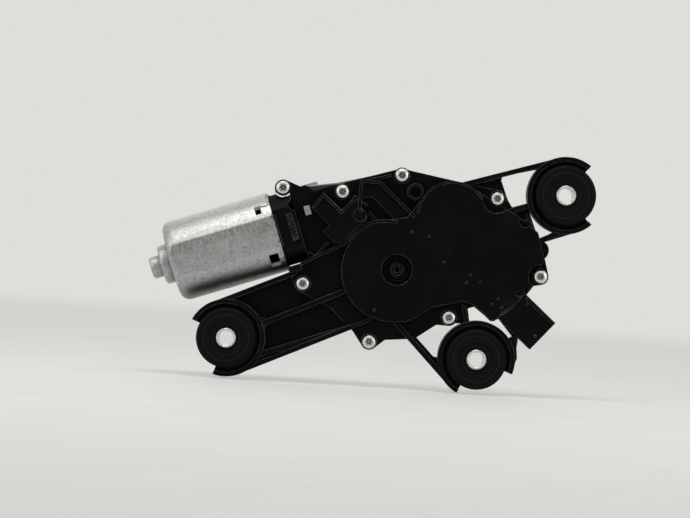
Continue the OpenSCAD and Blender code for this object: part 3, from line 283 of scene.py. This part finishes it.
def zinc_can():
    """Drawn and zinc-plated steel, with marks placed along and across the can's axis."""
    t = Surface("zinc_can")
    tilt = math.radians(20)
    # The motor's foot is the point of the can's axis beside the worm wheel
    foot_along, foot_across = -0.03668, 0.01910
    ahead = t.vector("DOT_PRODUCT", t.coords, (math.cos(tilt), 0.0, math.sin(tilt)))
    aside = t.vector("DOT_PRODUCT", t.coords, (-math.sin(tilt), 0.0, math.cos(tilt)))
    along = t.math("ADD", ahead, -foot_along)
    across = t.math("ADD", aside, -foot_across)
    parts = t.node("ShaderNodeSeparateXYZ")
    t.link(t.coords, parts.inputs[0])
    depth = parts.outputs["Y"]
    turned = t.node("ShaderNodeCombineXYZ")
    for socket, part in zip(turned.inputs, (along, across, depth)):
        t.link(part, socket)
    lengthwise = t.scaled((0.06, 1, 1), turned.outputs[0])
    crosswise = t.scaled((1, 0.22, 1), turned.outputs[0])

    drawn = t.noise(0.0012, 4, 0.65, lengthwise)
    mottle = t.ramp(t.noise(0.0014, 8, 0.82), 0.36, 0.64)
    grain = t.ramp(t.noise(0.0006, 4, 0.7), 0.35, 0.65)
    cloud = t.ramp(t.noise(0.014, 4, 0.6, distortion=1.0), 0.35, 0.7)
    specks = t.ramp(t.noise(0.0009, 2, 0.5), 0.66, 0.72)
    pits = t.times(t.ramp(t.noise(0.0011, 1, 0.5), 0.74, 0.78),
                   t.ramp(t.noise(0.016, 2, 0.5), 0.45, 0.55))
    stain = t.times(t.ramp(t.noise(0.006, 5, 0.7, lengthwise), 0.58, 0.72),
                    t.ramp(t.noise(0.02, 3, 0.5), 0.45, 0.6))
    # A band of soft random streaks along the flat that faces the viewer
    streaks = t.times(t.band(across, 0.0022, 0.0042, 0.0078, 0.0092),
                      t.ramp(t.noise(0.0013, 3, 0.6, crosswise), 0.44, 0.56))
    streaks = t.times(streaks, t.ramp(depth, -0.0096, -0.0086, 1.0, 0.0))
    # Nicks along the can's open edge, and painted shade on the lower side
    mouth = t.times(t.ramp(along, -0.0580, -0.0566), t.ramp(t.noise(0.0016, 2, 0.5), 0.5, 0.58))
    low = t.ramp(across, -0.0105, -0.0205)
    edge, soft = t.edges(0.0008)
    # Painted shade, darker deep in corners
    corner_shade = t.corners(0.005, 0.4, 0.97)
    color = t.layers(
        t.mix(mottle, (0.33, 0.335, 0.34), (0.68, 0.682, 0.67)),
        (grain, 0.5, grey(0.27)),
        (cloud, 0.35, (0.5, 0.495, 0.485)),
        (stain, 0.5, (0.2, 0.19, 0.18)),
        (streaks, 0.5, (0.2, 0.195, 0.185)),
        (mouth, 0.75, grey(0.06)),
        (low, 0.72, (0.13, 0.13, 0.12)),
        (corner_shade, 0.7, (0.09, 0.088, 0.082)),
        (t.math("MAXIMUM", specks, pits), 0.8, grey(0.09)),
        # Painted highlight along the edges
        (edge, 0.3, (0.78, 0.78, 0.77)))
    rough = t.math("ADD", t.ramp(mottle, 0, 1, 0.4, 0.28), t.ramp(cloud, 0, 1, 0.0, 0.07))
    normal = t.bump(drawn, 0.00006, 0.5, soft)
    normal = t.bump(t.noise(0.0009, 5, 0.8), 0.00016, 0.9, normal)
    return t.finish(color, rough, normal, metallic=1.0)


def plated_steel():
    """Bright plated steel of screws, sleeves and spindle, with painted shade in its recesses and
    painted highlights on its edges.
    """
    t = Surface("plated_screws")
    bright = (0.72, 0.715, 0.69)
    film = t.ramp(t.noise(0.0016, 4, 0.6), 0.35, 0.7)
    edge, soft = t.edges(0.00025)
    # Painted shade, near black deep in recesses
    corner_shade = t.corners(0.0026, 0.35, 0.86)
    color = t.layers(
        bright,
        (film, 0.3, shade(bright, 0.76)),
        (corner_shade, 1, (0.035, 0.033, 0.03)),
        # Painted highlight along the edges
        (edge, 0.4, (0.95, 0.95, 0.93)))
    rough = t.ramp(film, 0, 1, 0.22, 0.38)
    normal = t.bump(t.noise(0.0004, 3, 0.6), 0.00002, 0.5, soft)
    return t.finish(color, rough, normal, metallic=1.0)


def cast_metal():
    """Die-cast aluminium with a matt skin, flow marks, painted shade in corners and painted
    highlights on edges.
    """
    t = Surface("cast_aluminium")
    skin = t.ramp(t.noise(0.0009, 6, 0.78), 0.3, 0.7)
    flow = t.ramp(t.noise(0.012, 3, 0.55, distortion=1.5), 0.35, 0.7)
    chill = t.ramp(t.noise(0.03, 4, 0.6, distortion=2.0), 0.5, 0.62)
    edge, soft = t.edges(0.0006)
    # Painted shade, darker deep in corners
    corner_shade = t.corners(0.007, 0.3, 0.97)
    pits = t.ramp(t.noise(0.0012, 1, 0.5), 0.74, 0.79)
    color = t.layers(
        t.mix(skin, (0.34, 0.345, 0.35), (0.5, 0.505, 0.51)),
        (flow, 0.35, grey(0.44)),
        (chill, 0.25, (0.3, 0.3, 0.305)),
        (corner_shade, 0.75, (0.1, 0.097, 0.092)),
        (pits, 0.7, grey(0.08)),
        # Painted highlight along the edges
        (edge, 0.45, (0.7, 0.7, 0.71)))
    rough = t.math("ADD", t.ramp(skin, 0, 1, 0.6, 0.46), t.ramp(flow, 0, 1, 0, 0.06))
    normal = t.bump(t.noise(0.0007, 5, 0.8), 0.00014, 0.8, soft)
    return t.finish(color, rough, normal, metallic=1.0)


def plain_part(name, base, rough, metallic=1.0):
    """A part of one colour, with a thin uneven film and painted highlights on its edges."""
    t = Surface(name)
    film = t.ramp(t.noise(0.002, 5, 0.65), 0.35, 0.7)
    edge, soft = t.edges(0.0003)
    # Painted highlight: the edges 1.3 times brighter
    color = t.layers(base, (film, 0.4, shade(base, 0.7)), (edge, 0.3, shade(base, 1.3)))
    normal = t.bump(t.noise(0.0005, 3, 0.6), 0.00003, 0.5, soft)
    return t.finish(color, t.ramp(film, 0, 1, rough, rough + 0.2), normal, metallic=metallic)


def dress(names, material):
    for name in names:
        o = nodes[name]
        if not o.material_slots:
            o.data.materials.append(material)
        for s in o.material_slots:
            s.link = "OBJECT"
            s.material = material


black = moulded_plastic()
plated = plated_steel()
for side, at in MOUNTS.items():
    dress(["grommet_" + side], mount_rubber("mount_rubber_" + side, at))
dress(["cover_carrier", "filter_box", "brush_holder"], black)
dress(["shaft_seal"], mount_rubber("seal_rubber", SPINDLE))
dress(["motor_can"], zinc_can())
dress(["cover_screws", "sleeve_left", "sleeve_right", "sleeve_lower", "output_shaft"], plated)
dress(["gear_housing"], cast_metal())
dress(["terminal_clip", "magnet_springs", "bearing_retainer", "brush_springs", "thrust_pad",
       "armature_shaft", "worm", "lamination_stack", "wheel_axle", "wheel_washer", "wheel_clip",
       "link_plate", "link_pin", "coupler_plate", "crank_pin", "output_pinion",
       "shaft_circlip"], plain_part("turned_steel", (0.52, 0.525, 0.53), 0.28))
dress(["choke_coils", "windings"], plain_part("enamelled_wire", (0.2, 0.09, 0.045), 0.35))
dress(["commutator", "contact_disc", "park_contacts", "plug_terminals"],
      plain_part("copper", (0.78, 0.42, 0.25), 0.3))
dress(["motor_terminals"], plain_part("dark_tinned", (0.05, 0.05, 0.05), 0.45))
# The brush boxes' brass is given a dark colour
dress(["brush_boxes"], plain_part("dark_brass", (0.16, 0.12, 0.07), 0.45))
dress(["rear_bearing", "front_bearing", "output_bush_upper", "output_bush_lower"],
      plain_part("sintered_bronze", (0.56, 0.38, 0.2), 0.42))
dress(["worm_wheel"], plain_part("acetal", (0.78, 0.76, 0.69), 0.38, metallic=0.0))
dress(["magnets"], plain_part("ferrite", (0.07, 0.07, 0.075), 0.5, metallic=0.0))
dress(["brushes"], plain_part("carbon", (0.03, 0.03, 0.03), 0.5, metallic=0.0))
dress(["cover_gasket"], plain_part("gasket", (0.02, 0.02, 0.02), 0.7, metallic=0.0))
dress(["capacitor"], plain_part("capacitor", (0.05, 0.12, 0.3), 0.35, metallic=0.0))


# Pieces with finer detail than the solids have. Their sizes are in mm.

def mesh_object(name, points, faces, material, body, sharp_angle):
    """A piece on a body, smooth but for edges sharper than sharp_angle degrees."""
    mesh = bpy.data.meshes.new(name)
    mesh.from_pydata(points, [], faces)
    mesh.update()
    bm = bmesh.new()
    bm.from_mesh(mesh)
    bmesh.ops.recalc_face_normals(bm, faces=bm.faces)
    bm.to_mesh(mesh)
    bm.free()
    mesh.shade_smooth()
    mesh.set_sharp_from_angle(angle=math.radians(sharp_angle))
    o = bpy.data.objects.new(name, mesh)
    bpy.context.scene.collection.objects.link(o)
    o.data.materials.append(material)
    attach(o, body)
    return o


def turned_piece(name, centre, rings, around, body, closed=False, sharp_angle=40.0):
    """A plated piece turned about the line through centre, (x, y), along the frame's Y axis.

    rings lists (radius, height), and radius or height may be a function of the angle.
    closed joins the last ring to the first, and otherwise both ends get a cap.
    """
    points, faces = [], []
    for radius, height in rings:
        for i in range(around):
            angle = math.tau * i / around
            r = radius(angle) if callable(radius) else radius
            y = height(angle) if callable(height) else height
            points.append(V(centre[0] + r * math.cos(angle), centre[1] + r * math.sin(angle), -y))
    loops = len(rings)
    for j in range(loops if closed else loops - 1):
        k = (j + 1) % loops
        for i in range(around):
            n = (i + 1) % around
            faces.append((j * around + i, j * around + n, k * around + n, k * around + i))
    if not closed:
        faces.append(tuple(range(around)))
        faces.append(tuple((loops - 1) * around + i for i in range(around)))
    return mesh_object(name, points, faces, plated, body, sharp_angle)


def spindle():
    """The output shaft with journal, plain part, knurled cone, threaded end and chamfers."""
    low, high = (corner.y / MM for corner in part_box("output_shaft"))
    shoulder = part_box("output_pinion")[0].y / MM
    journal_r, journal_chamfer = 3.5, 0.4
    shaft_r, shaft_chamfer, shaft_step = 5.0, 0.3, 0.01
    cone_l, cone_drop, cone_steps, cone_lead = 8.0, 0.8, 8, 0.4
    serrations, serration_depth = 36, 0.26
    thread_l, pitch, rings_per_turn = 10.0, 1.25, 8
    crest_r, root_r, tip_chamfer = 3.9, 3.45, 0.3
    run_in, run_out = 1.2, 0.9
    thread_at = high - thread_l
    cone_at = thread_at - cone_l

    def knurl(share):
        crest = shaft_r - cone_drop * share
        cut = serration_depth * math.sin(math.pi * share) ** 0.5
        return lambda a: crest - cut * abs(math.sin(serrations / 2 * a))

    def thread(y):
        fade = min(1.0, (y - thread_at) / run_in, (high - y) / run_out)

        def radius(a):
            phase = ((y - thread_at) / pitch - a / math.tau) % 1.0
            ridge = 1.0 - abs(2.0 * phase - 1.0)
            return root_r + (crest_r - root_r) * ridge * fade
        return radius

    rings = [(journal_r - journal_chamfer, low), (journal_r, low + journal_chamfer),
             (journal_r, shoulder - shaft_step), (shaft_r - shaft_chamfer, shoulder),
             (shaft_r, shoulder + shaft_chamfer), (shaft_r, cone_at - cone_lead)]
    for step in range(cone_steps + 1):
        share = step / cone_steps
        rings.append((knurl(share), cone_at + cone_l * share))
    thread_steps = round(thread_l / pitch * rings_per_turn)
    for step in range(1, thread_steps):
        y = thread_at + thread_l * step / thread_steps
        rings.append((thread(y), y))
    rings.append((root_r - tip_chamfer, high))
    o = turned_piece("spindle", SPINDLE, rings, 144, "output", sharp_angle=32.0)
    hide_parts("output_shaft")


def rolled_sleeve(side):
    """A steel sleeve with rounded ends, teeth on both faces and an open seam."""
    low, high = (corner.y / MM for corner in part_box("sleeve_" + side))
    middle = (low + high) / 2
    outer, bore, teeth = 5.4, 4.0, 20
    seam_at, half_seam, seam_depth = math.radians(250), math.radians(2.2), 0.35

    def seamed(a):
        return outer - seam_depth if abs(a - seam_at) < half_seam else outer

    # One end from the outside in: radius, how far below the face, and how deep the teeth are
    profile = [(seamed, 0.5, 0.0), (outer - 0.25, 0.1, 0.0), (outer - 0.45, 0.0, 0.12),
               (bore + 0.42, 0.0, 0.2), (bore + 0.15, 0.25, 0.0), (bore, 0.6, 0.0)]

    def height(face, sign, below, depth):
        return lambda a: face - sign * (below + depth * (0.5 + 0.5 * math.cos(teeth * a)))

    rings = [(seamed, middle)]
    rings += [(r, height(high, 1, below, depth)) for r, below, depth in profile]
    rings.append((bore, middle))
    rings += [(r, height(low, -1, below, depth)) for r, below, depth in reversed(profile)]
    o = turned_piece("rolled_sleeve_" + side, MOUNTS[side], rings, 120, "housing", closed=True)
    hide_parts("sleeve_" + side)


def thin_wall(name, path, low, high, width=0.7, chamfer=0.2):
    """A thin moulded wall along path, a list of (x, y), with a chamfered top."""
    half = width / 2
    section = [(-half, low), (-half, high - chamfer), (-half + chamfer, high),
               (half - chamfer, high), (half, high - chamfer), (half, low)]
    points, faces = [], []
    for i, at in enumerate(path):
        before, after = Vector(path[max(i - 1, 0)]), Vector(path[min(i + 1, len(path) - 1)])
        along = (after - before).normalized()
        for off, z in section:
            points.append(V(at[0] - along.y * off, at[1] + along.x * off, z))
    k = len(section)
    for i in range(len(path) - 1):
        for j in range(k):
            n = (j + 1) % k
            faces.append((i * k + j, i * k + n, (i + 1) * k + n, (i + 1) * k + j))
    faces += [tuple(range(k)), tuple((len(path) - 1) * k + j for j in range(k))]
    mesh_object(name, points, faces, black, "housing", sharp_angle=25.0)


spindle()
for side in MOUNTS:
    rolled_sleeve(side)

# A short curved ledge on the plate, beside the brush holder
LEDGE = [(-77.4, -24.9), (-76.9, -24.55), (-76.3, -24.3), (-75.6, -24.2), (-74.9, -24.3),
         (-74.2, -24.6), (-73.5, -25.1), (-72.9, -25.8)]
LEDGE_H, LEDGE_SUNK = 1.8, 0.1
thin_wall("ledge_wall", LEDGE, PLATE_TOP - LEDGE_SUNK, PLATE_TOP + LEDGE_H)


# Floor, light and camera

def pale_bench():
    """A pale floor that shows shadows softly and fades into the background far out.

    Diffuse rays meet the plain surface, so the floor's own glow doesn't light the part.
    """
    t = Surface("pale_bench")
    cloud = t.ramp(t.noise(0.05, 4, 0.6), 0.3, 0.7)
    t.finish(t.mix(cloud, (0.72, 0.73, 0.715), (0.77, 0.78, 0.765)), 0.6, specular=0.2)
    plain = t.shader.outputs["BSDF"]
    glowing = t.node("ShaderNodeEmission")
    glowing.inputs["Color"].default_value = (*PALE, 1.0)
    lit = t.mix_shader(0.5, plain, glowing.outputs["Emission"])
    diffuse_ray = t.node("ShaderNodeLightPath").outputs["Is Diffuse Ray"]
    seen = t.mix_shader(diffuse_ray, lit, plain)
    far_out = t.ramp(t.vector("LENGTH", t.coords), 0.35, 2.2)
    clear = t.node("ShaderNodeBsdfTransparent").outputs["BSDF"]
    t.link(t.mix_shader(far_out, seen, clear), t.out.inputs["Surface"])
    return t.mat


FLOOR_GAP = 0.0002
floor_z = cad_box[0].z - FLOOR_GAP
bpy.ops.mesh.primitive_circle_add(vertices=96, radius=2.4, fill_type="NGON",
                                  location=(-0.05, 0.05, floor_z))
floor = bpy.context.object
floor.name = "floor"
floor.data.materials.append(pale_bench())

scene = bpy.context.scene
world = bpy.data.worlds.new("studio")
scene.world = world
sky = Tree(world)


def glow(color, strength):
    n = sky.node("ShaderNodeBackground")
    sky.feed(n.inputs["Color"], color)
    sky.feed(n.inputs["Strength"], strength)
    return n.outputs["Background"]


# Camera rays see the pale background. Glossy and transmission rays see it too, but dimmer
# on the side that the covers face. All other rays meet a soft even light.
COVERS_FACE = (0.0, -0.86, -0.5)
ray = sky.node("ShaderNodeLightPath").outputs
direction = sky.node("ShaderNodeTexCoord").outputs["Generated"]
ambient = glow((0.95, 0.98, 1.0), 0.42)
dimmed = sky.ramp(sky.vector("DOT_PRODUCT", direction, COVERS_FACE), 0.25, 1.0, 1.0, 0.3)
mirror_ray = sky.math("MAXIMUM", ray["Is Glossy Ray"], ray["Is Transmission Ray"])
unseen = sky.mix_shader(mirror_ray, ambient, glow(PALE, dimmed))
whole = sky.mix_shader(ray["Is Camera Ray"], unseen, glow(PALE, 1.0))
sky.link(whole, sky.node("ShaderNodeOutputWorld").inputs["Surface"])

# Softboxes: name, place and size in metres, power in watts and colour
LAMPS = [
    ("key_top", (-0.10, -0.25, 0.75), (0.5, 0.3), 3.6, (1.0, 0.99, 0.97)),
    ("fill_left", (-0.85, -0.45, 0.25), (0.5, 0.6), 1.7, (0.97, 0.99, 1.0)),
    ("fill_right", (0.7, -0.6, 0.1), (0.5, 0.6), 1.3, (1.0, 1.0, 1.0)),
    ("back", (0.1, 0.9, 0.6), (1.4, 0.9), 2.0, (1.0, 1.0, 1.0)),
]
LAMP_AIM = Vector((-0.04, 0.0, -0.03))
for name, place, size, power, color in LAMPS:
    data = bpy.data.lights.new(name, "AREA")
    data.shape = "RECTANGLE"
    data.size, data.size_y = size
    data.energy = power
    data.color = color
    lamp = bpy.data.objects.new(name, data)
    scene.collection.objects.link(lamp)
    lamp.location = place
    lamp.rotation_mode = "QUATERNION"
    lamp.rotation_quaternion = (LAMP_AIM - Vector(place)).to_track_quat("-Z", "Y")

# The camera looks along +Y at the covers and is rolled a little, as in the photo
CAMERA_AT = (-0.0563, -1.5, -0.0264)
CAMERA_ROLL = math.radians(3.7)
scene.view_settings.view_transform = "Standard"
cam_data = bpy.data.cameras.new("camera")
cam_data.sensor_width = 36.0
cam_data.lens = 144.8
cam_data.clip_start = 0.01
cam = bpy.data.objects.new("camera", cam_data)
scene.collection.objects.link(cam)
scene.camera = cam
right = Vector((math.cos(CAMERA_ROLL), 0, math.sin(CAMERA_ROLL)))
up = Vector((-math.sin(CAMERA_ROLL), 0, math.cos(CAMERA_ROLL)))
turn = Matrix((right, up, right.cross(up))).transposed().to_4x4()
cam.matrix_world = Matrix.Translation(CAMERA_AT) @ turn
